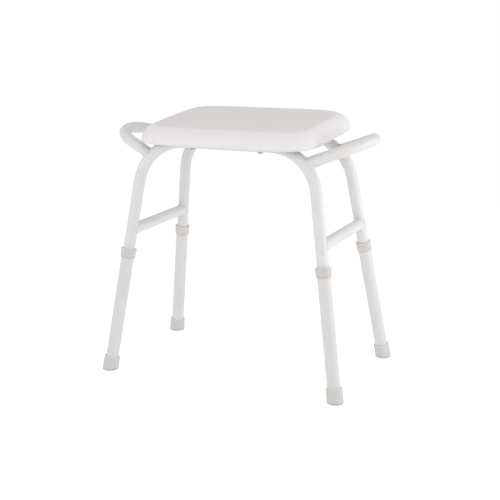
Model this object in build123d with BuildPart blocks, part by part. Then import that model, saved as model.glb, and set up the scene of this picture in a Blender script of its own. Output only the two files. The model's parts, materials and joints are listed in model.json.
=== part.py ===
"""Shower stool: two splayed tube arches, a moulded seat pad, side handles and four legs of adjustable length.

Millimetres, +Z up. The origin is on the floor under the middle of the stool, +X is to one side and -Y is
the front. Each leg leans inward as it rises, so everything on a leg is built on that leg's own plane.
"""

import math
import os

from build123d import *

# The stance: where the legs meet the floor, and how far they lean in for each millimetre of height.
foot_half_width = 276.0
foot_half_depth = 162.6
lean_in_sideways = 0.148
lean_in_lengthways = 0.122

# The upper frame tube, which both arches, the braces and the handles are cut from.
upper_tube_radius = 12.7
upper_tube_wall = 1.5
arch_height = 525.7
arch_bend_radius = 108.4
arch_end_along_leg = 69.0
brace_height = 325.7
weld_gap = 0.05

# The handles: where they join the arch bends, and the corner of the bow that they are bent to.
handle_join_angle = 44.0
handle_corner_x = 296.2
handle_corner_y = 55.8
handle_corner_z = 536.2
handle_bend_radius = 79.4

# The sliding lower leg, with one row of holes for the snap button.
lower_tube_radius = 14.3
lower_tube_wall = 1.2
lower_tube_start = 10.0
lower_tube_end = 284.5
hole_pitch = 25.4
holes_above_button = 5
holes_below_button = 1
button_along_leg = 123.0
button_hole_radius = 4.35
sliding_clearance = 0.3

# The collar on top of the lower leg and the ferrule under it.
collar_start = 267.5
collar_height = 20.5
collar_lip_radius = 17.6
collar_lip_height = 5.5
collar_skirt_radius = 16.2
collar_body_radius = 17.0
collar_step = 0.6
collar_lip_round = 1.2
foot_radius = 18.2
foot_top_radius = 17.5
foot_height = 33.0
foot_floor = 8.4
sole_edge_radius = 3.5
foot_rim_radius = 1.2
tread_depth = 1.5
tread_width = 2.0
tread_radii = (11.0, 6.0)
press_gap = 0.05

# The snap button and the leaf spring that pushes it out.
button_radius = 4.0
button_reach = 16.9
button_root = 6.8
button_flange_radius = 5.6
button_flange_thickness = 1.4
button_flange_play = 0.2
button_nose_radius = 2.5
spring_thickness = 0.6
spring_width = 7.0
spring_length = 44.0
spring_fold_radius = 3.0
spring_bend_radius = 12.0
spring_half_tab = 8.0
spring_wall_gap = 1.5

# The glide in the lower end of each upper tube.
glide_stem_length = 14.0
glide_head_thickness = 4.0

# The seat: a rounded pad on a plane that falls towards the front.
seat_rim_height = 537.6
seat_fall = 0.07
seat_centre_y = 7.7
pad_half_width = 209.0
pad_half_depth = 157.3
pad_outline_power = 6.0
pad_below_rim = 4.0
pad_above_rim = 36.5
pad_top_roll = 31.0
pad_bottom_roll = 3.0
recess_wall = 18.0
recess_ceiling = 16.0
base_thickness = 5.0
base_lip_depth = 6.0
base_lip_width = 4.0
base_edge_gap = 0.8
rib_depth = 4.5
rib_width = 3.0
ribbed_width = 300.0
rib_count = 7
cross_rib_count = 3

# The saddles that carry the seat base on the arches, and their bolts.
saddle_offset_x = 80.0
saddle_length = 40.0
saddle_width = 34.0
saddle_corner_radius = 5.0
saddle_drop = 2.0
bolt_radius = 3.0
bolt_hole_radius = 3.25
bolt_head_radius = 6.0
bolt_head_height = 2.4
bolt_socket_width = 4.0
bolt_socket_depth = 1.6
nut_width = 10.0
nut_height = 5.0
nut_bore_radius = 3.1
bolt_past_nut = 1.5
nut_pocket_radius = 8.0
nut_pocket_depth = 8.0

SIDES = {"left": -1, "right": 1}
ENDS = {"front": -1, "rear": 1}
LEGS = {f"{end}_{side}": (SIDES[side], ENDS[end]) for end in ENDS for side in SIDES}

os.makedirs("parts", exist_ok=True)


def save(piece, name):
    """Labels a finished piece and writes it to its own file."""
    piece.part.label = name
    export_step(piece.part, f"parts/{name}.step")


def leg_point(side, end, height):
    """The point on a leg's axis at a height above the floor."""
    return Vector(
        side * (foot_half_width - lean_in_sideways * height),
        end * (foot_half_depth - lean_in_lengthways * height),
        height,
    )


def leg_plane(side, end):
    """The plane across a leg's axis at the floor, with its local Y towards the rear of the stool."""
    axis = leg_point(side, end, 1) - leg_point(side, end, 0)
    return Plane(origin=leg_point(side, end, 0), x_dir=Vector(0, 1, 0).cross(axis), z_dir=axis)


def button_plane(leg):
    """The plane of the row of button holes: through the leg's axis, with its normal to the rear."""
    origin = leg.origin + leg.z_dir * button_along_leg
    return Plane(origin=origin, x_dir=leg.z_dir, z_dir=leg.y_dir)


def arch_points(end):
    """The corners of an arch's centre line, from the end of one leg over to the end of the other."""
    slope = math.sqrt(1 + lean_in_sideways**2 + lean_in_lengthways**2)
    low = arch_end_along_leg / slope
    left_low, left_high = leg_point(-1, end, low), leg_point(-1, end, arch_height)
    right_low, right_high = leg_point(1, end, low), leg_point(1, end, arch_height)
    return left_low, left_high, right_high, right_low


def handle_points(side):
    """The corners of a handle's centre line, from the front arch's bend out and back to the rear one."""
    # An arch is flat, in a plane that leans back, so its bend is drawn there and then set upright.
    rise = math.sqrt(1 + lean_in_lengthways**2)
    turn = math.radians(90) - math.atan(lean_in_sideways / rise)
    straight_end = (
        foot_half_width
        - lean_in_sideways * arch_height
        - arch_bend_radius * math.tan(turn / 2)
    )
    angle = math.radians(handle_join_angle)
    join_x = straight_end + arch_bend_radius * math.cos(angle)
    join_z = arch_height - arch_bend_radius * (1 - math.sin(angle)) / rise
    join_y = foot_half_depth - lean_in_lengthways * join_z
    return (
        Vector(side * join_x, -join_y, join_z),
        Vector(side * handle_corner_x, -handle_corner_y, handle_corner_z),
        Vector(side * handle_corner_x, handle_corner_y, handle_corner_z),
        Vector(side * join_x, join_y, join_z),
    )


def superellipse(half_width, half_depth, power, count=48):
    """Points round a superellipse, even in angle."""
    points = []
    for step in range(count):
        angle = 2 * math.pi * step / count
        across, along = math.cos(angle), math.sin(angle)
        reach = (abs(across) ** power + abs(along) ** power) ** (-1 / power)
        points.append((half_width * across * reach, half_depth * along * reach))
    return points


seat_plane = Plane(
    origin=(0, seat_centre_y, seat_rim_height + seat_fall * seat_centre_y),
    x_dir=(1, 0, 0),
    z_dir=(0, -seat_fall, 1),
)


def arch_run_on_seat(end):
    """Where an arch's level run lies in the seat's plane: how far along it, and how far above it."""
    local = seat_plane.to_local_coords(leg_point(0, end, arch_height))
    return local.Y, local.Z


# Solid cores of the arches, used only to cut the tubes that are welded to them.
arch_cores = {}
for end_name, end in ENDS.items():
    corners = arch_points(end)
    with BuildPart() as core:
        with BuildLine() as core_path:
            FilletPolyline(*corners, radius=arch_bend_radius)
        with BuildSketch(Plane(origin=core_path.line @ 0, z_dir=core_path.line % 0)):
            Circle(upper_tube_radius + weld_gap)
        sweep()
    arch_cores[end_name] = core.part

# The two arches, with a hole for the snap button in each leg and two bolt holes in the level run.
for end_name, end in ENDS.items():
    corners = arch_points(end)
    run_v, run_w = arch_run_on_seat(end)
    with BuildPart() as arch:
        with BuildLine() as arch_path:
            FilletPolyline(*corners, radius=arch_bend_radius)
        with BuildSketch(Plane(origin=arch_path.line @ 0, z_dir=arch_path.line % 0)):
            Circle(upper_tube_radius)
            Circle(upper_tube_radius - upper_tube_wall, mode=Mode.SUBTRACT)
        sweep()
        for side in SIDES.values():
            with BuildSketch(button_plane(leg_plane(side, end))):
                Circle(button_hole_radius)
            extrude(amount=2 * upper_tube_radius, mode=Mode.SUBTRACT)
        with BuildSketch(seat_plane.offset(run_w)):
            with Locations((-saddle_offset_x, run_v), (saddle_offset_x, run_v)):
                Circle(bolt_hole_radius)
        extrude(amount=2 * upper_tube_radius, both=True, mode=Mode.SUBTRACT)
    save(arch, f"{end_name}_arch_tube")

# The level brace on each side, coped to sit on the front leg and the rear leg.
for side_name, side in SIDES.items():
    front_end, rear_end = leg_point(side, -1, brace_height), leg_point(side, 1, brace_height)
    with BuildPart() as brace:
        with BuildSketch(Plane(origin=front_end, z_dir=rear_end - front_end)):
            Circle(upper_tube_radius)
            Circle(upper_tube_radius - upper_tube_wall, mode=Mode.SUBTRACT)
        extrude(amount=(rear_end - front_end).length)
        for core in arch_cores.values():
            add(core, mode=Mode.SUBTRACT)
    save(brace, f"{side_name}_side_brace")

# The handle on each side, a bow of tube coped onto the outer corners of both arches.
for side_name, side in SIDES.items():
    corners = handle_points(side)
    with BuildPart() as handle:
        with BuildLine() as handle_path:
            FilletPolyline(*corners, radius=handle_bend_radius)
        with BuildSketch(Plane(origin=handle_path.line @ 0, z_dir=handle_path.line % 0)):
            Circle(upper_tube_radius)
            Circle(upper_tube_radius - upper_tube_wall, mode=Mode.SUBTRACT)
        sweep()
        for core in arch_cores.values():
            add(core, mode=Mode.SUBTRACT)
    # The cope leaves a crescent of tube inside each arch's bend, which is cut away.
    handle.part = handle.part.solids().sort_by(SortBy.VOLUME)[-1]
    save(handle, f"{side_name}_handle")

# The seat pad, with a recess under it for the base and pockets for the nuts.
with BuildPart() as seat_pad:
    with BuildSketch(seat_plane.offset(-pad_below_rim)):
        with BuildLine():
            Spline(*superellipse(pad_half_width, pad_half_depth, pad_outline_power), periodic=True)
        make_face()
    extrude(amount=pad_below_rim + pad_above_rim)
    fillet(seat_pad.faces().sort_by(Axis.Z)[-1].edges(), radius=pad_top_roll)
    fillet(seat_pad.faces().sort_by(Axis.Z)[0].edges(), radius=pad_bottom_roll)
    with BuildSketch(seat_plane.offset(-pad_below_rim)):
        with BuildLine():
            Spline(
                *superellipse(
                    pad_half_width - recess_wall,
                    pad_half_depth - recess_wall,
                    pad_outline_power,
                ),
                periodic=True,
            )
        make_face()
    extrude(amount=pad_below_rim + recess_ceiling, mode=Mode.SUBTRACT)
    with BuildSketch(seat_plane.offset(recess_ceiling)):
        for end in ENDS.values():
            with Locations(*[(x, arch_run_on_seat(end)[0]) for x in (-saddle_offset_x, saddle_offset_x)]):
                Circle(nut_pocket_radius)
    extrude(amount=nut_pocket_depth, mode=Mode.SUBTRACT)
save(seat_pad, "seat_pad")

# The seat base: a moulded plate with a lip round its edge and shallow ribs between the arches.
base_half_width = pad_half_width - recess_wall - base_edge_gap
base_half_depth = pad_half_depth - recess_wall - base_edge_gap
base_bottom = recess_ceiling - base_thickness
front_run_v, front_run_w = arch_run_on_seat(-1)
rear_run_v, rear_run_w = arch_run_on_seat(1)
rib_span = rear_run_v - front_run_v - saddle_width - 2 * rib_width
with BuildPart() as seat_base:
    with BuildSketch(seat_plane.offset(base_bottom)):
        with BuildLine():
            Spline(*superellipse(base_half_width, base_half_depth, pad_outline_power), periodic=True)
        make_face()
    extrude(amount=base_thickness)
    with BuildSketch(seat_plane.offset(base_bottom)):
        with BuildLine():
            Spline(*superellipse(base_half_width, base_half_depth, pad_outline_power), periodic=True)
        make_face()
        with BuildLine():
            Spline(
                *superellipse(
                    base_half_width - base_lip_width,
                    base_half_depth - base_lip_width,
                    pad_outline_power,
                ),
                periodic=True,
            )
        make_face(mode=Mode.SUBTRACT)
    extrude(amount=-base_lip_depth)
    with BuildSketch(seat_plane.offset(base_bottom)):
        with Locations((0, (front_run_v + rear_run_v) / 2)):
            with GridLocations(ribbed_width / (rib_count - 1), 1, rib_count, 1):
                Rectangle(rib_width, rib_span)
            with GridLocations(1, rib_span / (cross_rib_count - 1), 1, cross_rib_count):
                Rectangle(ribbed_width + rib_width, rib_width)
    extrude(amount=-rib_depth)
    with BuildSketch(seat_plane.offset(base_bottom)):
        for run_v in (front_run_v, rear_run_v):
            with Locations((-saddle_offset_x, run_v), (saddle_offset_x, run_v)):
                Circle(bolt_hole_radius)
    extrude(amount=base_thickness, mode=Mode.SUBTRACT)
save(seat_base, "seat_base")

# The saddles: blocks between the base and the arches, taller at the rear than at the front.
for end_name, end in ENDS.items():
    run_v, run_w = arch_run_on_seat(end)
    for side_name, side in SIDES.items():
        with BuildPart() as saddle:
            with BuildSketch(seat_plane.offset(base_bottom)):
                with Locations((side * saddle_offset_x, run_v)):
                    RectangleRounded(saddle_length, saddle_width, saddle_corner_radius)
            extrude(amount=-(base_bottom - run_w + saddle_drop))
            add(arch_cores[end_name], mode=Mode.SUBTRACT)
            with BuildSketch(seat_plane.offset(base_bottom)):
                with Locations((side * saddle_offset_x, run_v)):
                    Circle(bolt_hole_radius)
            extrude(amount=-(base_bottom - run_w), mode=Mode.SUBTRACT)
        save(saddle, f"{end_name}_{side_name}_saddle")

# One bolt through each saddle from below, and the nut above the base that it screws into.
bolt_places = [(x, end) for end in ENDS.values() for x in (-saddle_offset_x, saddle_offset_x)]
with BuildPart() as seat_bolts:
    for x, end in bolt_places:
        run_v, run_w = arch_run_on_seat(end)
        head_top = run_w - upper_tube_radius
        with BuildSketch(seat_plane.offset(head_top)):
            with Locations((x, run_v)):
                Circle(bolt_head_radius)
        extrude(amount=-bolt_head_height)
        with BuildSketch(seat_plane.offset(head_top)):
            with Locations((x, run_v)):
                Circle(bolt_radius)
        extrude(amount=recess_ceiling + nut_height + bolt_past_nut - head_top)
        with BuildSketch(seat_plane.offset(head_top - bolt_head_height)):
            with Locations((x, run_v)):
                RegularPolygon(bolt_socket_width / 2, 6, major_radius=False)
        extrude(amount=bolt_socket_depth, mode=Mode.SUBTRACT)
save(seat_bolts, "seat_bolts")

with BuildPart() as seat_nuts:
    for x, end in bolt_places:
        run_v, run_w = arch_run_on_seat(end)
        with BuildSketch(seat_plane.offset(recess_ceiling)):
            with Locations((x, run_v)):
                RegularPolygon(nut_width / 2, 6, major_radius=False)
                Circle(nut_bore_radius, mode=Mode.SUBTRACT)
        extrude(amount=nut_height)
save(seat_nuts, "seat_nuts")

# Each leg, from the glide inside the upper tube down to the ferrule on the floor.
for leg_name, (side, end) in LEGS.items():
    leg = leg_plane(side, end)
    holes = button_plane(leg)
    bore_radius = lower_tube_radius - lower_tube_wall

    with BuildPart() as end_glide:
        with BuildSketch(leg.offset(arch_end_along_leg)):
            Circle(bore_radius - sliding_clearance)
        extrude(amount=-glide_head_thickness)
        with BuildSketch(leg.offset(arch_end_along_leg)):
            Circle(upper_tube_radius - upper_tube_wall - press_gap)
        extrude(amount=glide_stem_length)
    save(end_glide, f"{leg_name}_end_glide")

    with BuildPart() as lower_tube:
        with BuildSketch(leg.offset(lower_tube_start)):
            Circle(lower_tube_radius)
            Circle(bore_radius, mode=Mode.SUBTRACT)
        extrude(amount=lower_tube_end - lower_tube_start)
        first, last = -holes_below_button, holes_above_button
        with BuildSketch(holes):
            with Locations(*[(step * hole_pitch, 0) for step in range(first, last + 1)]):
                Circle(button_hole_radius)
        extrude(amount=2 * lower_tube_radius, mode=Mode.SUBTRACT)
    save(lower_tube, f"{leg_name}_lower_tube")

    # The collar's profile: a skirt over the tube, a wider lip, and an inner edge that guides the upper tube.
    collar_end = collar_start + collar_height
    with BuildPart() as collar:
        with BuildSketch(Plane(origin=leg.origin, x_dir=leg.x_dir, z_dir=-leg.y_dir)):
            with BuildLine():
                Polyline(
                    (lower_tube_radius + press_gap, collar_start),
                    (collar_skirt_radius, collar_start),
                    (collar_body_radius, collar_end - collar_lip_height - collar_step),
                    (collar_lip_radius, collar_end - collar_lip_height),
                    (collar_lip_radius, collar_end),
                    (upper_tube_radius + sliding_clearance, collar_end),
                    (upper_tube_radius + sliding_clearance, lower_tube_end),
                    (lower_tube_radius + press_gap, lower_tube_end),
                    close=True,
                )
            make_face()
        revolve(axis=Axis(leg.origin, leg.z_dir))
        lip_edges = collar.edges().filter_by(GeomType.CIRCLE).group_by(SortBy.RADIUS)[-1]
        fillet(lip_edges, radius=collar_lip_round)
    save(collar, f"{leg_name}_leg_collar")

    with BuildPart() as washer:
        with BuildSketch(leg.offset(foot_floor)):
            Circle(lower_tube_radius)
        extrude(amount=lower_tube_start - foot_floor)
    save(washer, f"{leg_name}_foot_washer")

    # The ferrule follows the leaning leg, and its sole is level.
    with BuildPart() as ferrule:
        with BuildSketch(Plane(origin=leg.origin, x_dir=leg.x_dir, z_dir=-leg.y_dir)):
            with BuildLine():
                Polyline(
                    (0, -foot_radius),
                    (foot_radius, -foot_radius),
                    (foot_radius, 0),
                    (foot_top_radius, foot_height),
                    (lower_tube_radius + press_gap, foot_height),
                    (lower_tube_radius + press_gap, foot_floor),
                    (0, foot_floor),
                    close=True,
                )
            make_face()
        revolve(axis=Axis(leg.origin, leg.z_dir))
        split(bisect_by=Plane.XY, keep=Keep.TOP)
        fillet(ferrule.edges().group_by(Axis.Z)[-1], radius=foot_rim_radius)
        fillet(ferrule.faces().sort_by(Axis.Z)[0].edges(), radius=sole_edge_radius)
        # The sole's ring treads, drawn from the largest inward, so that each ring leaves the next one free.
        with BuildSketch(Plane(leg.origin)):
            for tread_radius in tread_radii:
                Circle(tread_radius + tread_width / 2)
                Circle(tread_radius - tread_width / 2, mode=Mode.SUBTRACT)
        extrude(amount=tread_depth, mode=Mode.SUBTRACT)
    save(ferrule, f"{leg_name}_foot")

    # The snap button: a round-nosed pin with a flange that stops against the inside of the upper tube.
    flange_seat = math.sqrt((upper_tube_radius - upper_tube_wall) ** 2 - button_flange_radius**2)
    with BuildPart() as button:
        with BuildSketch(holes.offset(button_root)):
            Circle(button_radius)
        extrude(amount=button_reach - button_root)
        fillet(button.faces().sort_by(Axis(holes.origin, holes.z_dir))[-1].edges(), radius=button_nose_radius)
        with BuildSketch(holes.offset(flange_seat - button_flange_play)):
            Circle(button_flange_radius)
        extrude(amount=-button_flange_thickness)
    save(button, f"{leg_name}_snap_button")

    # The leaf spring: a strip folded to a V inside the upper tube, behind the button.
    back_wall = upper_tube_radius - upper_tube_wall - spring_wall_gap
    with BuildPart() as spring:
        with BuildSketch(Plane(origin=holes.origin, x_dir=holes.x_dir, z_dir=-leg.x_dir)):
            with BuildLine() as strip_line:
                FilletPolyline(
                    (spring_half_tab, button_root - spring_thickness),
                    (-spring_half_tab, button_root - spring_thickness),
                    (-spring_length, 0),
                    (spring_half_tab, -back_wall + spring_thickness),
                    radius=(spring_bend_radius, spring_fold_radius),
                )
            trace(line_width=spring_thickness)
        extrude(amount=spring_width / 2, both=True)
    save(spring, f"{leg_name}_button_spring")
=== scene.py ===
"""The looks of the shower stool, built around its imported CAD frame. Metres, +Z up, -Y is the front."""

import json
import math

import bmesh
import bpy
from mathutils import Matrix, Vector


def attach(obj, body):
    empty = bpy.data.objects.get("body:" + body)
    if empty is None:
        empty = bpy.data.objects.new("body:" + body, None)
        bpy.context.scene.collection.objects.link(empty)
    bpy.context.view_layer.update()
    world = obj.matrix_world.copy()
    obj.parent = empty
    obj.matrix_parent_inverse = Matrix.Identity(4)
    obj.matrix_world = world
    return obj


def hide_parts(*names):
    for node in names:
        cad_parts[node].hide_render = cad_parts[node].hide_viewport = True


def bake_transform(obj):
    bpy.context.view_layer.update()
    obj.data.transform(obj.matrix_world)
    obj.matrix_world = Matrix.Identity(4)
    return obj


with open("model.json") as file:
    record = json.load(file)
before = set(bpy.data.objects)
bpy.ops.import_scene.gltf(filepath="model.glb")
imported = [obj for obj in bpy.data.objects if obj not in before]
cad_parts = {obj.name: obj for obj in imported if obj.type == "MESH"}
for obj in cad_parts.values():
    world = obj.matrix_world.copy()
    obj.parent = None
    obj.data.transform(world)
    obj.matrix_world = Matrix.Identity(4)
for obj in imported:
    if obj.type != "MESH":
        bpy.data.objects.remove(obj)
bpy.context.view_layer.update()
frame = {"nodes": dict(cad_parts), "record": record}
MM = 0.001

# The camera: where it looks, from which side and height, and how far off it stands.
CAMERA_TARGET = Vector((0.00736, 0.0, 0.2712))
CAMERA_AZIMUTH = math.radians(24.82)
CAMERA_ELEVATION = math.radians(13.69)
CAMERA_ROLL = math.radians(-0.697)
CAMERA_DISTANCE = 2.5294
CAMERA_LENS = 80.03
CAMERA_SENSOR_WIDTH = 36.0

# The stage: half the floor's side, the light of the sky, and how bright the camera sees the sky.
FLOOR_HALF_SIZE = 120.0
SKY_LIGHT = 0.84
SKY_IN_VIEW = 1.05

# The soft square lights: name, place, side, power in watts and colour. All are turned to one point.
LIGHTS_TARGET = (0.0, 0.0, 0.4)
LIGHTS = [
    ("right_light", (1.4, 0.35, 0.6), 0.9, 6.7, (1.0, 0.99, 0.99)),
    ("front_light", (0.9, -1.7, 1.35), 1.2, 7.7, (1.0, 0.99, 0.985)),
    ("left_light", (-1.2, -1.3, 0.9), 0.8, 4.9, (1.0, 1.0, 1.0)),
]

# The stance of the legs, as in the CAD model.
FOOT_HALF_WIDTH = 276.0 * MM
FOOT_HALF_DEPTH = 162.6 * MM
LEAN_SIDEWAYS = 0.148
LEAN_LENGTHWAYS = 0.122
UPPER_TUBE_RADIUS = 12.7 * MM
ARCH_HEIGHT = 525.7 * MM
ARCH_BEND_RADIUS = 108.4 * MM
BRACE_HEIGHT = 325.7 * MM

# The handle's bow, as in the CAD model.
HANDLE_JOIN_ANGLE = math.radians(44.0)
HANDLE_CORNER = Vector((296.2, 55.8, 536.2)) * MM

# The seat's plane and the pad on it.
SEAT_RIM_HEIGHT = 537.6 * MM
SEAT_FALL = 0.07
SEAT_CENTRE_Y = 7.7 * MM
PAD_HALF_WIDTH = 209.0 * MM
PAD_HALF_DEPTH = 157.3 * MM
PAD_RECESS_WALL = 18.0 * MM
PAD_RECESS_CEILING = 16.0 * MM
PAD_BELOW_RIM = 4.0 * MM
SEAT_BOLT_X = 80.0 * MM
NUT_POCKET_REACH = 13.0 * MM
NUT_POCKET_DEPTH = 8.0 * MM

SIDES = {"left": -1, "right": 1}
ENDS = {"front": -1, "rear": 1}


def leg_point(side, end, height):
    """The point on a leg's axis at a height above the floor."""
    return Vector((
        side * (FOOT_HALF_WIDTH - LEAN_SIDEWAYS * height),
        end * (FOOT_HALF_DEPTH - LEAN_LENGTHWAYS * height),
        height,
    ))


# ---------------------------------------------------------------- camera and stage

def add_camera():
    """A camera on the view of the object from its front and right."""
    back = Vector((
        math.sin(CAMERA_AZIMUTH) * math.cos(CAMERA_ELEVATION),
        -math.cos(CAMERA_AZIMUTH) * math.cos(CAMERA_ELEVATION),
        math.sin(CAMERA_ELEVATION),
    ))
    right = Vector((math.cos(CAMERA_AZIMUTH), math.sin(CAMERA_AZIMUTH), 0.0))
    up = back.cross(right)
    rolled_right = right * math.cos(CAMERA_ROLL) + up * math.sin(CAMERA_ROLL)
    rolled_up = up * math.cos(CAMERA_ROLL) - right * math.sin(CAMERA_ROLL)
    turn = Matrix((rolled_right, rolled_up, back)).transposed().to_4x4()
    data = bpy.data.cameras.new("camera")
    data.lens = CAMERA_LENS
    data.sensor_width = CAMERA_SENSOR_WIDTH
    camera = bpy.data.objects.new("camera", data)
    camera.matrix_world = Matrix.Translation(CAMERA_TARGET + back * CAMERA_DISTANCE) @ turn
    bpy.context.scene.collection.objects.link(camera)
    bpy.context.scene.camera = camera


def add_area_light(name, place, side, power, colour):
    """A soft square light at a place, turned to the lights' target."""
    data = bpy.data.lights.new(name, "AREA")
    data.shape = "SQUARE"
    data.size = side
    data.energy = power
    data.color = colour
    light = bpy.data.objects.new(name, data)
    light.location = place
    towards = Vector(LIGHTS_TARGET) - Vector(place)
    light.rotation_euler = towards.to_track_quat("-Z", "Y").to_euler()
    bpy.context.scene.collection.objects.link(light)


def add_lights():
    """The square lights, and a sky that lights evenly from all round.

    The sky is as white as the floor where the camera sees it, so that no horizon shows.
    """
    for light in LIGHTS:
        add_area_light(*light)
    world = bpy.data.worlds.new("studio")
    world.use_nodes = True
    nodes, links = world.node_tree.nodes, world.node_tree.links
    rays = nodes.new("ShaderNodeLightPath")
    strength = add_range(nodes, links, rays.outputs["Is Camera Ray"], SKY_LIGHT, SKY_IN_VIEW)
    background = nodes["Background"]
    background.inputs["Color"].default_value = (1.0, 1.0, 1.0, 1.0)
    links.new(strength.outputs["Result"], background.inputs["Strength"])
    bpy.context.scene.world = world
    bpy.context.scene.view_settings.view_transform = "Standard"


def add_floor():
    """A plain pale floor that fills the view, as low as the soles reach with the legs at their longest."""
    half = FLOOR_HALF_SIZE
    joints = frame["record"]["behaviour"]["joints"]
    drop = -max(-joint["axis"][2] * joint["range_m"][1] for joint in joints)
    mesh = bpy.data.meshes.new("studio_floor")
    corners = [(-half, -half, drop), (half, -half, drop), (half, half, drop), (-half, half, drop)]
    mesh.from_pydata(corners, [], [(0, 1, 2, 3)])
    floor = bpy.data.objects.new("studio_floor", mesh)
    bpy.context.scene.collection.objects.link(floor)
    mesh.materials.append(floor_paint())


# ---------------------------------------------------------------- materials

# The foam's colour on the rolled edge, painted lighter and more neutral than on top as painted light, as a
# share of its colour on top.
FOAM_ROLL_PAINTED_LIGHT = (1.0, 1.028, 1.036)

# Rings of painted light and shade on the legs: the top rims of the feet and collars, and the tube just above
# each, are painted lighter to lift the dark contact lines there, and a painted shadow lies along each
# collar's lower edge and just below it. Each ring is a place along the leg, from the floor, and a shade. A
# shade is a share of the lightest one, so that it stays within 1, and the colours in MATERIALS are multiplied
# by the peak of the painted light to make up for it.
RING_WOBBLE = 0.4 * MM
# The peak of the painted light on the rings. The colours are multiplied by it.
PAINTED_LIGHT_PEAK = 1.2
FOOT_TOP = 33.0 * MM
COLLAR_BOTTOM = 267.5 * MM
COLLAR_TOP = 288.0 * MM
PLAIN = 1.0 / PAINTED_LIGHT_PEAK
# A faint painted highlight.
FAINT_PAINTED_LIGHT = 1.1 / PAINTED_LIGHT_PEAK
# A painted shadow.
PAINTED_SHADE = 0.90 / PAINTED_LIGHT_PEAK
# A faint painted highlight on the frame tube where it leaves the collar.
FRAME_TUBE_RINGS = [
    (COLLAR_TOP - 8.0 * MM, PLAIN),
    (COLLAR_TOP, FAINT_PAINTED_LIGHT),
    (COLLAR_TOP + 3.5 * MM, PLAIN),
]
# A painted highlight on the lower tube just above the foot, and a painted shadow just under the collar.
LOWER_TUBE_RINGS = [
    (FOOT_TOP, 1.0),
    (FOOT_TOP + 3.5 * MM, PLAIN),
    (COLLAR_BOTTOM - 2.0 * MM, PLAIN),
    (COLLAR_BOTTOM - 0.8 * MM, PAINTED_SHADE),
    (COLLAR_BOTTOM, PAINTED_SHADE),
]
# A painted shadow along the collar's lower edge, and a painted highlight on its top rim.
COLLAR_RINGS = [
    (COLLAR_BOTTOM, PAINTED_SHADE),
    (COLLAR_BOTTOM + 1.6 * MM, PAINTED_SHADE),
    (COLLAR_BOTTOM + 2.6 * MM, PLAIN),
    (COLLAR_TOP - 2.0 * MM, PLAIN),
    (COLLAR_TOP - 0.5 * MM, 1.0),
]
# A painted highlight on the foot's top rim.
FOOT_RINGS = [(FOOT_TOP - 2.0 * MM, PLAIN), (FOOT_TOP - 0.8 * MM, 1.0)]


def new_material(name):
    """A node material, with its nodes, its links, its shader and the texture coordinates."""
    material = bpy.data.materials.new(name)
    material.use_nodes = True
    nodes, links = material.node_tree.nodes, material.node_tree.links
    return material, nodes, links, nodes["Principled BSDF"], nodes.new("ShaderNodeTexCoord")


def add_noise(nodes, links, coords, scale, detail, roughness=0.5):
    """A noise texture in object space, with its scale in features per metre."""
    noise = nodes.new("ShaderNodeTexNoise")
    noise.inputs["Scale"].default_value = scale
    noise.inputs["Detail"].default_value = detail
    noise.inputs["Roughness"].default_value = roughness
    links.new(coords.outputs["Object"], noise.inputs["Vector"])
    return noise


def add_ramp(nodes, links, source, stops):
    """A colour ramp over a source value. Each stop is a place and an RGB colour."""
    ramp = nodes.new("ShaderNodeValToRGB")
    elements = ramp.color_ramp.elements
    while len(elements) < len(stops):
        elements.new(0.5)
    for element, (place, colour) in zip(elements, stops):
        element.position = place
        element.color = (*colour, 1.0)
    links.new(source, ramp.inputs["Fac"])
    return ramp


def add_range(nodes, links, source, low, high):
    """Maps a source value from 0..1 to low..high."""
    spread = nodes.new("ShaderNodeMapRange")
    spread.inputs["To Min"].default_value = low
    spread.inputs["To Max"].default_value = high
    links.new(source, spread.inputs["Value"])
    return spread


def add_clouds(nodes, links, noise, dark, light):
    """A noise spread from a dark colour to a light one."""
    return add_ramp(nodes, links, noise.outputs["Fac"], [(0.3, dark), (0.7, light)])


def add_bump(nodes, links, height, distance, strength, under=None):
    """A bump of a height source, over another bump if one is given."""
    bump = nodes.new("ShaderNodeBump")
    bump.inputs["Distance"].default_value = distance
    bump.inputs["Strength"].default_value = strength
    links.new(height, bump.inputs["Height"])
    if under:
        links.new(under.outputs["Normal"], bump.inputs["Normal"])
    return bump


def tint(colour, factor):
    """A colour made lighter or darker."""
    return tuple(min(1.0, channel * factor) for channel in colour)


def add_product(nodes, links, first, second):
    """Two colours multiplied."""
    product = nodes.new("ShaderNodeMix")
    product.data_type = "RGBA"
    product.blend_type = "MULTIPLY"
    product.inputs["Factor"].default_value = 1.0
    links.new(first, product.inputs["A"])
    links.new(second, product.inputs["B"])
    return product


def add_leg_rings(nodes, links, coords, rings):
    """Painted light and shade, as shades of grey in rings round the legs.

    With X and Y made positive, the four legs lie on one axis, so one sum tells how far along it a point is.
    """
    mirrored = nodes.new("ShaderNodeVectorMath")
    mirrored.operation = "ABSOLUTE"
    links.new(coords.outputs["Object"], mirrored.inputs[0])
    axis = Vector((-LEAN_SIDEWAYS, -LEAN_LENGTHWAYS, 1.0)).normalized()
    start = axis.dot(Vector((FOOT_HALF_WIDTH, FOOT_HALF_DEPTH, 0.0)))
    along = nodes.new("ShaderNodeVectorMath")
    along.operation = "DOT_PRODUCT"
    along.inputs[1].default_value = axis
    links.new(mirrored.outputs["Vector"], along.inputs[0])
    wobble = add_noise(nodes, links, coords, scale=120.0, detail=2.0)
    shift = add_range(nodes, links, wobble.outputs["Fac"], -RING_WOBBLE, RING_WOBBLE)
    place = nodes.new("ShaderNodeMath")
    place.operation = "ADD"
    links.new(along.outputs["Value"], place.inputs[0])
    links.new(shift.outputs["Result"], place.inputs[1])
    low, high = rings[0][0], rings[-1][0]
    share = add_range(nodes, links, place.outputs["Value"], 0.0, 1.0)
    share.inputs["From Min"].default_value = start + low
    share.inputs["From Max"].default_value = start + high
    stops = [((ring - low) / (high - low), (shade,) * 3) for ring, shade in rings]
    return add_ramp(nodes, links, share.outputs["Result"], stops)


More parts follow.
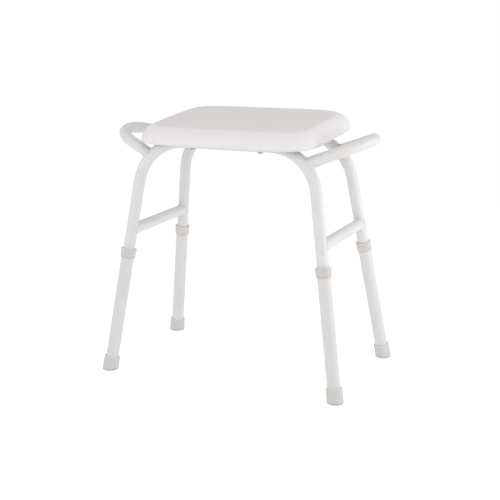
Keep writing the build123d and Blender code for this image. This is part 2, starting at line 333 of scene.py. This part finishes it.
def powder_coat(name, colour, rings):
    """Off-white powder coat: orange peel, faint clouds, a satin gloss that varies, and rings of painted light
    and shade on the legs.
    """
    material, nodes, links, shader, coords = new_material(name)
    cloud = add_noise(nodes, links, coords, scale=14.0, detail=4.0)
    clouds = add_clouds(nodes, links, cloud, tint(colour, 0.965), tint(colour, 1.02))
    # The rings of painted light and shade.
    shades = add_leg_rings(nodes, links, coords, rings)
    colours = add_product(nodes, links, clouds.outputs["Color"], shades.outputs["Color"])
    links.new(colours.outputs["Result"], shader.inputs["Base Color"])
    gloss = add_noise(nodes, links, coords, scale=60.0, detail=5.0)
    rough = add_range(nodes, links, gloss.outputs["Fac"], low=0.30, high=0.46)
    links.new(rough.outputs["Result"], shader.inputs["Roughness"])
    peel = add_noise(nodes, links, coords, scale=520.0, detail=2.0)
    bump = add_bump(nodes, links, peel.outputs["Fac"], distance=0.12 * MM, strength=0.35)
    links.new(bump.outputs["Normal"], shader.inputs["Normal"])
    shader.inputs["Specular IOR Level"].default_value = 0.4
    shader.inputs["Coat Weight"].default_value = 0.08
    shader.inputs["Coat Roughness"].default_value = 0.3
    return material


def foam_skin(name, colour):
    """Self-skinned foam: a fine leathery grain with pores and soft sheen.

    Its colour is painted by which way the surface faces: the rolled edge is painted lighter and more neutral
    than the top, as painted light.
    """
    material, nodes, links, shader, coords = new_material(name)
    # Painted light: the colour is lighter and more neutral where the rolled edge faces forward and up.
    split = nodes.new("ShaderNodeSeparateXYZ")
    links.new(coords.outputs["Normal"], split.inputs["Vector"])
    painted_roll_colour = tuple(channel * share for channel, share in zip(colour, FOAM_ROLL_PAINTED_LIGHT))
    painted_by_facing = add_ramp(nodes, links, split.outputs["Z"], [
        (0.25, tint(painted_roll_colour, 0.98)),
        (0.70, tint(painted_roll_colour, 1.03)),
        (0.88, tint(painted_roll_colour, 1.05)),
        (0.955, colour),
    ])
    cloud = add_noise(nodes, links, coords, scale=9.0, detail=5.0, roughness=0.55)
    clouds = add_clouds(nodes, links, cloud, (0.965,) * 3, (1.0,) * 3)
    colours = add_product(nodes, links, painted_by_facing.outputs["Color"], clouds.outputs["Color"])
    links.new(colours.outputs["Result"], shader.inputs["Base Color"])
    grain = nodes.new("ShaderNodeTexVoronoi")
    grain.feature = "DISTANCE_TO_EDGE"
    grain.inputs["Scale"].default_value = 620.0
    links.new(coords.outputs["Object"], grain.inputs["Vector"])
    creases = add_range(nodes, links, grain.outputs["Distance"], low=0.0, high=1.0)
    creases.inputs["From Max"].default_value = 0.12
    pores = add_noise(nodes, links, coords, scale=1500.0, detail=2.0)
    fine = add_bump(nodes, links, pores.outputs["Fac"], distance=0.10 * MM, strength=0.5)
    bump = add_bump(nodes, links, creases.outputs["Result"], distance=0.16 * MM, strength=0.6, under=fine)
    links.new(bump.outputs["Normal"], shader.inputs["Normal"])
    gloss = add_noise(nodes, links, coords, scale=35.0, detail=4.0)
    rough = add_range(nodes, links, gloss.outputs["Fac"], low=0.46, high=0.62)
    links.new(rough.outputs["Result"], shader.inputs["Roughness"])
    shader.inputs["Specular IOR Level"].default_value = 0.42
    shader.inputs["Sheen Weight"].default_value = 0.06
    shader.inputs["Sheen Roughness"].default_value = 0.5
    return material


def moulded_plastic(name, colour, rough_low, rough_high, rings=None):
    """Satin moulded plastic with a fine spark-eroded texture, and with rings of painted light and shade if it
    is on a leg.
    """
    material, nodes, links, shader, coords = new_material(name)
    cloud = add_noise(nodes, links, coords, scale=45.0, detail=3.0)
    clouds = add_clouds(nodes, links, cloud, tint(colour, 0.96), tint(colour, 1.03))
    paint = clouds.outputs["Color"]
    if rings:
        # The rings of painted light and shade.
        shades = add_leg_rings(nodes, links, coords, rings)
        paint = add_product(nodes, links, paint, shades.outputs["Color"]).outputs["Result"]
    links.new(paint, shader.inputs["Base Color"])
    rough = add_range(nodes, links, cloud.outputs["Fac"], rough_low, rough_high)
    links.new(rough.outputs["Result"], shader.inputs["Roughness"])
    spark = add_noise(nodes, links, coords, scale=2200.0, detail=2.0)
    bump = add_bump(nodes, links, spark.outputs["Fac"], distance=0.05 * MM, strength=0.3)
    links.new(bump.outputs["Normal"], shader.inputs["Normal"])
    return material


def ferrule_rubber(name, colour, rings):
    """Matt grey rubber: faint bloom, fine specks, rings of painted light, and a speckled band that darkens
    towards the floor.
    """
    material, nodes, links, shader, coords = new_material(name)
    blotch = add_noise(nodes, links, coords, scale=70.0, detail=6.0, roughness=0.65)
    bloom = add_ramp(nodes, links, blotch.outputs["Fac"], [
        (0.30, tint(colour, 0.95)),
        (0.50, colour),
        (0.72, tint(colour, 1.035)),
    ])
    # The rings of painted light.
    shades = add_leg_rings(nodes, links, coords, rings)
    colours = add_product(nodes, links, bloom.outputs["Color"], shades.outputs["Color"])
    # A speckled band that darkens towards the floor.
    split = nodes.new("ShaderNodeSeparateXYZ")
    links.new(coords.outputs["Object"], split.inputs["Vector"])
    low = add_range(nodes, links, split.outputs["Z"], low=1.0, high=0.0)
    low.inputs["From Min"].default_value = 1.0 * MM
    low.inputs["From Max"].default_value = 9.0 * MM
    specks = add_noise(nodes, links, coords, scale=420.0, detail=3.0, roughness=0.6)
    darker_near_floor_share = nodes.new("ShaderNodeMath")
    darker_near_floor_share.operation = "MULTIPLY"
    links.new(low.outputs["Result"], darker_near_floor_share.inputs[0])
    links.new(specks.outputs["Fac"], darker_near_floor_share.inputs[1])
    darker_near_floor = nodes.new("ShaderNodeMix")
    darker_near_floor.data_type = "RGBA"
    links.new(darker_near_floor_share.outputs["Value"], darker_near_floor.inputs["Factor"])
    links.new(colours.outputs["Result"], darker_near_floor.inputs["A"])
    darker_near_floor.inputs["B"].default_value = (*tint(colour, 0.46), 1.0)
    links.new(darker_near_floor.outputs["Result"], shader.inputs["Base Color"])
    rough = add_range(nodes, links, blotch.outputs["Fac"], low=0.62, high=0.85)
    links.new(rough.outputs["Result"], shader.inputs["Roughness"])
    skin = add_noise(nodes, links, coords, scale=900.0, detail=3.0)
    bump = add_bump(nodes, links, skin.outputs["Fac"], distance=0.10 * MM, strength=0.4)
    links.new(bump.outputs["Normal"], shader.inputs["Normal"])
    shader.inputs["Specular IOR Level"].default_value = 0.3
    return material


def plated_metal(name, colour, rough_low, rough_high):
    """Plated or bare steel, with a faint stain and fine scratches."""
    material, nodes, links, shader, coords = new_material(name)
    stain = add_noise(nodes, links, coords, scale=180.0, detail=4.0)
    stains = add_clouds(nodes, links, stain, tint(colour, 0.85), tint(colour, 1.05))
    links.new(stains.outputs["Color"], shader.inputs["Base Color"])
    rough = add_range(nodes, links, stain.outputs["Fac"], rough_low, rough_high)
    links.new(rough.outputs["Result"], shader.inputs["Roughness"])
    scratches = add_noise(nodes, links, coords, scale=2600.0, detail=2.0)
    bump = add_bump(nodes, links, scratches.outputs["Fac"], distance=0.02 * MM, strength=0.3)
    links.new(bump.outputs["Normal"], shader.inputs["Normal"])
    shader.inputs["Metallic"].default_value = 1.0
    return material


def floor_paint():
    """A plain pale floor that can be looked through from below, so that the underside is in sight."""
    material, nodes, links, shader, coords = new_material("floor_paint")
    cloud = add_noise(nodes, links, coords, scale=1.5, detail=2.0)
    clouds = add_clouds(nodes, links, cloud, (0.89,) * 3, (0.91,) * 3)
    links.new(clouds.outputs["Color"], shader.inputs["Base Color"])
    links.new(clouds.outputs["Color"], shader.inputs["Emission Color"])
    shader.inputs["Emission Strength"].default_value = 0.28
    shader.inputs["Roughness"].default_value = 0.9
    shader.inputs["Specular IOR Level"].default_value = 0.1
    geometry = nodes.new("ShaderNodeNewGeometry")
    see_through = nodes.new("ShaderNodeBsdfTransparent")
    one_sided = nodes.new("ShaderNodeMixShader")
    links.new(geometry.outputs["Backfacing"], one_sided.inputs["Fac"])
    links.new(shader.outputs["BSDF"], one_sided.inputs[1])
    links.new(see_through.outputs["BSDF"], one_sided.inputs[2])
    links.new(one_sided.outputs["Shader"], nodes["Material Output"].inputs["Surface"])
    return material


SLOT_COLOURS = {m["slot"]: tuple(m["base_color"][:3]) for m in frame["record"]["materials"]}

# Colours on the legs are raised by the peak of the painted light, and the rings bring them back down.
MATERIALS = {
    "painted_frame_tube": powder_coat(
        "frame_powder_coat", tint(SLOT_COLOURS["painted_frame_tube"], 1.06 * PAINTED_LIGHT_PEAK), FRAME_TUBE_RINGS),
    "painted_lower_tube": powder_coat(
        "lower_tube_powder_coat", tint(SLOT_COLOURS["painted_lower_tube"], PAINTED_LIGHT_PEAK), LOWER_TUBE_RINGS),
    "seat_foam": foam_skin("seat_foam_skin", tint(SLOT_COLOURS["seat_foam"], 1.02)),
    "seat_plastic": moulded_plastic(
        "seat_base_plastic", SLOT_COLOURS["seat_plastic"], rough_low=0.45, rough_high=0.60),
    "collar_plastic": moulded_plastic(
        "collar_satin_plastic", tint(SLOT_COLOURS["collar_plastic"], PAINTED_LIGHT_PEAK),
        rough_low=0.38, rough_high=0.50, rings=COLLAR_RINGS),
    "glide_plastic": moulded_plastic(
        "glide_black_plastic", SLOT_COLOURS["glide_plastic"], rough_low=0.40, rough_high=0.55),
    "zinc_steel": plated_metal("zinc_plate", SLOT_COLOURS["zinc_steel"], rough_low=0.40, rough_high=0.60),
    "foot_rubber": ferrule_rubber(
        "ferrule_rubber", tint(SLOT_COLOURS["foot_rubber"], 1.05 * PAINTED_LIGHT_PEAK), FOOT_RINGS),
    "button_steel": plated_metal(
        "button_polish", SLOT_COLOURS["button_steel"], rough_low=0.16, rough_high=0.30),
    "spring_steel": plated_metal(
        "spring_blue", SLOT_COLOURS["spring_steel"], rough_low=0.30, rough_high=0.45),
}


def dress_cad_nodes():
    """Gives each CAD node the material of its slot in the record."""
    for part in frame["record"]["subparts"]:
        mesh = frame["nodes"][part["node"]].data
        mesh.materials.clear()
        mesh.materials.append(MATERIALS[part["material_slot"]])


def add_mesh(name, shape, material, smooth):
    """An object of a finished bmesh, with its faces turned outward."""
    bmesh.ops.recalc_face_normals(shape, faces=shape.faces)
    mesh = bpy.data.meshes.new(name)
    shape.to_mesh(mesh)
    shape.free()
    for polygon in mesh.polygons:
        polygon.use_smooth = smooth
    mesh.materials.append(material)
    thing = bpy.data.objects.new(name, mesh)
    bpy.context.scene.collection.objects.link(thing)
    return thing


# ---------------------------------------------------------------- the seat pad

def seat_matrix():
    """The seat's own frame: its X is the stool's, and its Z leans to the front."""
    normal = Vector((0.0, -SEAT_FALL, 1.0)).normalized()
    across = Vector((1.0, 0.0, 0.0))
    along = normal.cross(across)
    turn = Matrix((across, along, normal)).transposed().to_4x4()
    origin = Vector((0.0, SEAT_CENTRE_Y, SEAT_RIM_HEIGHT + SEAT_FALL * SEAT_CENTRE_Y))
    return Matrix.Translation(origin) @ turn


def nut_pockets():
    """The middles of the pockets over the seat's nuts, in the seat's own frame."""
    to_seat = seat_matrix().inverted()
    rows = [(to_seat @ leg_point(0, end, ARCH_HEIGHT)).y for end in ENDS.values()]
    return [Vector((side * SEAT_BOLT_X, row)) for side in SIDES.values() for row in rows]


def superellipse_point(angle, half_width, half_depth, power):
    """A superellipse's point at an angle, which is measured before the two half sizes stretch it."""
    across, along = math.cos(angle), math.sin(angle)
    reach = (abs(across) ** power + abs(along) ** power) ** (-1.0 / power)
    return half_width * across * reach, half_depth * along * reach


# The pad's rolled edge: an arc that starts with a soft crease at the edge of the top, and runs out to the
# rim. Its middle is inside the pad, on the rim's plane. The top has a low crown inside the crease.
ROLL_WIDTH = 41.0 * MM
ROLL_HEIGHT = 35.1 * MM
ROLL_START = math.radians(20.0)
ROLL_STEPS = 12
CREASE_WIDTH = 3.5 * MM
TOP_INSET = ROLL_WIDTH * (1 - math.sin(ROLL_START)) + CREASE_WIDTH
TOP_RISE = ROLL_HEIGHT * math.cos(ROLL_START)
PAD_CROWN = 3.0 * MM
CROWN_POWER = 3

# The mould's parting line, a shallow groove just under the rim, with sloping sides.
PARTING_TOP = 0.7 * MM
PARTING_BOTTOM = 2.1 * MM
PARTING_DEPTH = 1.3 * MM
PARTING_SLOPE = 0.3 * MM

# The rings of the pad's outer edge below the roll, and of the recess, as (inset, height above the rim).
UNDERSIDE_RINGS = [
    (0.1 * MM, -PARTING_TOP),
    (PARTING_DEPTH, -PARTING_TOP - PARTING_SLOPE),
    (PARTING_DEPTH, -PARTING_BOTTOM + PARTING_SLOPE),
    (0.3 * MM, -PARTING_BOTTOM),
    (0.9 * MM, -PAD_BELOW_RIM + 0.6 * MM),
    (2.2 * MM, -PAD_BELOW_RIM),
    (PAD_RECESS_WALL - 2.0 * MM, -PAD_BELOW_RIM),
    (PAD_RECESS_WALL, -PAD_BELOW_RIM + 2.0 * MM),
    (PAD_RECESS_WALL, PAD_RECESS_CEILING - 1.0 * MM),
    (PAD_RECESS_WALL + 1.0 * MM, PAD_RECESS_CEILING),
]

# The pad's grid: how many cells lie along each side, and the power of the outline they fill.
PAD_CELLS = 40
PAD_OUTLINE_POWER = 6.0


def pad_section():
    """The rings of the edge as (inset, height), from the top's edge to the recess ceiling."""
    rings = []
    for step in range(ROLL_STEPS + 1):
        angle = ROLL_START + (math.radians(90.0) - ROLL_START) * step / ROLL_STEPS
        rings.append((ROLL_WIDTH * (1 - math.sin(angle)), ROLL_HEIGHT * math.cos(angle)))
    return rings + UNDERSIDE_RINGS


def pad_ring():
    """The grid's corners round its edge, in order."""
    ring = [(i, 0) for i in range(PAD_CELLS)]
    ring += [(PAD_CELLS, i) for i in range(PAD_CELLS)]
    ring += [(PAD_CELLS - i, PAD_CELLS) for i in range(PAD_CELLS)]
    ring += [(0, PAD_CELLS - i) for i in range(PAD_CELLS)]
    return ring


def pad_point(i, j, inset, height):
    """A grid corner's point at a height, with the grid's edge inset from the pad's outline."""
    u, v = 2.0 * i / PAD_CELLS - 1.0, 2.0 * j / PAD_CELLS - 1.0
    size = max(abs(u), abs(v))
    if size == 0.0:
        return Vector((0.0, 0.0, height))
    x, y = superellipse_point(
        math.atan2(v, u), PAD_HALF_WIDTH - inset, PAD_HALF_DEPTH - inset, PAD_OUTLINE_POWER)
    return Vector((x * size, y * size, height))


def crowned_top_point(i, j):
    """A grid corner's point on the pad's top."""
    point = pad_point(i, j, TOP_INSET, 0.0)
    across = min(1.0, abs(point.x) / (PAD_HALF_WIDTH - TOP_INSET))
    along = min(1.0, abs(point.y) / (PAD_HALF_DEPTH - TOP_INSET))
    point.z = TOP_RISE + PAD_CROWN * (1.0 - across ** CROWN_POWER) * (1.0 - along ** CROWN_POWER)
    return point


def recess_ceiling_point(i, j, pockets):
    """A grid corner's point on the recess ceiling, higher where it is over a nut."""
    inset, height = UNDERSIDE_RINGS[-1]
    point = pad_point(i, j, inset, height)
    if any((point.xy - pocket).length < NUT_POCKET_REACH for pocket in pockets):
        point.z += NUT_POCKET_DEPTH
    return point


def fill_grid(shape, corners):
    """The quads between a grid's corners. Their sides are made to agree later."""
    for i in range(PAD_CELLS):
        for j in range(PAD_CELLS):
            quad = ((i, j), (i + 1, j), (i + 1, j + 1), (i, j + 1))
            shape.faces.new([corners[corner] for corner in quad])


def build_seat_pad():
    """The moulded pad: a crowned top, a rolled edge, and a recess with nut pockets, all in quads."""
    shape = bmesh.new()
    top = {}
    for i in range(PAD_CELLS + 1):
        for j in range(PAD_CELLS + 1):
            top[i, j] = shape.verts.new(crowned_top_point(i, j))
    fill_grid(shape, top)
    ring = pad_ring()
    above = [top[corner] for corner in ring]
    for inset, height in pad_section():
        below = [shape.verts.new(pad_point(*corner, inset, height)) for corner in ring]
        for k in range(len(ring)):
            shape.faces.new((above[k], above[k - 1], below[k - 1], below[k]))
        above = below
    ceiling = dict(zip(ring, above))
    pockets = nut_pockets()
    for i in range(1, PAD_CELLS):
        for j in range(1, PAD_CELLS):
            ceiling[i, j] = shape.verts.new(recess_ceiling_point(i, j, pockets))
    fill_grid(shape, ceiling)
    pad = add_mesh("moulded_seat_pad", shape, MATERIALS["seat_foam"], smooth=True)
    pad.data.transform(seat_matrix())
    rounding = pad.modifiers.new("smooth", "SUBSURF")
    rounding.levels = 1
    rounding.render_levels = 1
    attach(pad, "frame")
    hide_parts("seat_pad")


# ---------------------------------------------------------------- weld beads

# The bead: its radius outward from the joint, how much wider it is than that, and its ripples.
WELD_RADIUS = 1.7 * MM
WELD_WIDENING = 1.35
WELD_RIPPLE = 0.22 * MM
WELD_PITCH = 2.6 * MM

# How many points lie round a joint and round the bead, and how far and how finely a joint is searched for.
RING_POINTS = 180
BEAD_POINTS = 10
SEARCH_REACH = 60.0 * MM
SEARCH_HALVINGS = 40


def from_leg_axis(point, side, end):
    """The vector to a point from the nearest point of a leg's axis."""
    foot = leg_point(side, end, 0.0)
    axis = (leg_point(side, end, 1.0) - foot).normalized()
    return (point - foot) - axis * (point - foot).dot(axis)


def arch_bend(side, end):
    """The middle of an arch's bend, and the two directions of the plane that it lies in."""
    rise = math.hypot(1.0, LEAN_LENGTHWAYS)
    turn = math.radians(90.0) - math.atan(LEAN_SIDEWAYS / rise)
    outward = Vector((side, 0.0, 0.0))
    upright = Vector((0.0, -end * LEAN_LENGTHWAYS, 1.0)) / rise
    straight_end = leg_point(side, end, ARCH_HEIGHT) - outward * (ARCH_BEND_RADIUS * math.tan(turn / 2))
    return straight_end - upright * ARCH_BEND_RADIUS, outward, upright


def from_arch_bend(point, side, end):
    """The vector to a point from the nearest point of an arch bend's centre line."""
    middle, outward, upright = arch_bend(side, end)
    offset = point - middle
    in_plane = outward * offset.dot(outward) + upright * offset.dot(upright)
    return offset - in_plane.normalized() * ARCH_BEND_RADIUS


def contact_ring(start, direction, from_other):
    """Where a tube's surface meets another tube: points round it, each with its outward direction."""
    side_way = direction.orthogonal().normalized()
    up_way = direction.cross(side_way)
    points, outwards = [], []
    for step in range(RING_POINTS):
        angle = 2 * math.pi * step / RING_POINTS
        radial = side_way * math.cos(angle) + up_way * math.sin(angle)
        near, far = 0.0, SEARCH_REACH
        for _ in range(SEARCH_HALVINGS):
            middle = (near + far) / 2
            point = start + radial * UPPER_TUBE_RADIUS + direction * middle
            if from_other(point).length < UPPER_TUBE_RADIUS:
                near = middle
            else:
                far = middle
        point = start + radial * UPPER_TUBE_RADIUS + direction * far
        points.append(point)
        outwards.append((radial + from_other(point).normalized()).normalized())
    return points, outwards


def add_weld(name, points, outwards):
    """A rippled bead laid along a closed ring of points."""
    shape = bmesh.new()
    rows = []
    travelled = 0.0
    count = len(points)
    for k in range(count):
        along = (points[(k + 1) % count] - points[k - 1]).normalized()
        outward = (outwards[k] - along * outwards[k].dot(along)).normalized()
        across = along.cross(outward)
        radius = WELD_RADIUS + WELD_RIPPLE * math.cos(2 * math.pi * travelled / WELD_PITCH)
        row = []
        for m in range(BEAD_POINTS):
            angle = 2 * math.pi * m / BEAD_POINTS
            spoke = outward * math.cos(angle) + across * math.sin(angle) * WELD_WIDENING
            row.append(shape.verts.new(points[k] + spoke * radius))
        rows.append(row)
        travelled += (points[(k + 1) % count] - points[k]).length
    for k in range(count):
        here, there = rows[k], rows[(k + 1) % count]
        for m in range(BEAD_POINTS):
            n = (m + 1) % BEAD_POINTS
            shape.faces.new((here[m], here[n], there[n], there[m]))
    bead = add_mesh(name, shape, MATERIALS["painted_frame_tube"], smooth=True)
    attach(bead, "frame")


def add_welds():
    """A bead where each brace meets a leg, and where each handle meets an arch's bend."""
    for side_name, side in SIDES.items():
        for end_name, end in ENDS.items():
            start = leg_point(side, end, BRACE_HEIGHT)
            points, outwards = contact_ring(
                start, Vector((0.0, -end, 0.0)), lambda p, s=side, e=end: from_leg_axis(p, s, e))
            add_weld(f"{side_name}_{end_name}_brace_weld", points, outwards)
            middle, outward, upright = arch_bend(side, end)
            join = middle + ARCH_BEND_RADIUS * (
                outward * math.cos(HANDLE_JOIN_ANGLE) + upright * math.sin(HANDLE_JOIN_ANGLE))
            corner = Vector((side * HANDLE_CORNER.x, end * HANDLE_CORNER.y, HANDLE_CORNER.z))
            points, outwards = contact_ring(
                join, (corner - join).normalized(), lambda p, s=side, e=end: from_arch_bend(p, s, e))
            add_weld(f"{side_name}_{end_name}_handle_weld", points, outwards)


# ---------------------------------------------------------------- button springs

# The leaf spring behind each snap button, as in the CAD model: a strip folded to a V that opens upward. Its
# tab is behind the button, and its back leaf leans on the far wall of the tube. The sizes are measured from
# the leg's axis, level with the button: along the leg, and towards the button (front) or away (back).
BUTTON_ALONG_LEG = 123.0 * MM
SPRING_HALF_TAB = 8.0 * MM
SPRING_LENGTH = 44.0 * MM
SPRING_FRONT = 6.2 * MM
SPRING_BACK = -9.1 * MM
SPRING_BEND_RADII = (12.0 * MM, 3.0 * MM)
SPRING_HALF_THICKNESS = 0.3 * MM
SPRING_HALF_WIDTH = 3.5 * MM
SPRING_SPACING = 1.5 * MM
SPRING_ARC_STEP = math.radians(8.0)


def rounded_path(corners, radii, spacing, arc_step):
    """Close points along a flat path, with an arc of its own radius at each inner corner."""
    bends = [corners[0]]
    for before, corner, after, radius in zip(corners, corners[1:], corners[2:], radii):
        into, out = (before - corner).normalized(), (after - corner).normalized()
        half = into.angle(out) / 2
        middle = corner + (into + out).normalized() * (radius / math.sin(half))
        first = corner + into * (radius / math.tan(half)) - middle
        last = corner + out * (radius / math.tan(half)) - middle
        turn = math.pi - 2 * half
        steps = math.ceil(turn / arc_step)
        for step in range(steps + 1):
            gone = turn * step / steps
            bends.append(middle + (first * math.sin(turn - gone) + last * math.sin(gone)) / math.sin(turn))
    bends.append(corners[-1])
    points = [bends[0]]
    for start, stop in zip(bends, bends[1:]):
        steps = math.ceil((stop - start).length / spacing)
        points += [start.lerp(stop, step / steps) for step in range(1, steps + 1)]
    return points


def build_button_spring(leg_name, side, end):
    """A blued strip folded to a V, which takes the place of the CAD spring.
    """
    foot = leg_point(side, end, 0.0)
    up = (leg_point(side, end, 1.0) - foot).normalized()
    across = Vector((0.0, 1.0, 0.0)).cross(up).normalized()
    rearward = up.cross(across)
    origin = foot + up * BUTTON_ALONG_LEG
    corners = [
        Vector((SPRING_HALF_TAB, SPRING_FRONT)),
        Vector((-SPRING_HALF_TAB, SPRING_FRONT)),
        Vector((-SPRING_LENGTH, 0.0)),
        Vector((SPRING_HALF_TAB, SPRING_BACK)),
    ]
    path = rounded_path(corners, SPRING_BEND_RADII, SPRING_SPACING, SPRING_ARC_STEP)
    shape = bmesh.new()
    sections = []
    for before, here, after in zip(path[:1] + path, path, path[1:] + path[-1:]):
        along = (after - before).normalized()
        section = []
        for outer, wide in ((1, 1), (1, -1), (-1, -1), (-1, 1)):
            flat = here + Vector((-along.y, along.x)) * (outer * SPRING_HALF_THICKNESS)
            place = origin + up * flat.x + rearward * flat.y + across * (wide * SPRING_HALF_WIDTH)
            section.append(shape.verts.new(place))
        sections.append(section)
    for here, there in zip(sections, sections[1:]):
        for k in range(4):
            shape.faces.new((here[k], here[k - 1], there[k - 1], there[k]))
    shape.faces.new(sections[0])
    shape.faces.new(sections[-1])
    strip = add_mesh(f"{leg_name}_spring_strip", shape, MATERIALS["spring_steel"], smooth=False)
    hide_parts(f"{leg_name}_button_spring")
    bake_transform(strip)


def add_button_springs():
    """One spring in each leg."""
    for end_name, end in ENDS.items():
        for side_name, side in SIDES.items():
            build_button_spring(f"{end_name}_{side_name}", side, end)


# ---------------------------------------------------------------- build

add_camera()
add_lights()
add_floor()
dress_cad_nodes()
build_seat_pad()
add_welds()
add_button_springs()
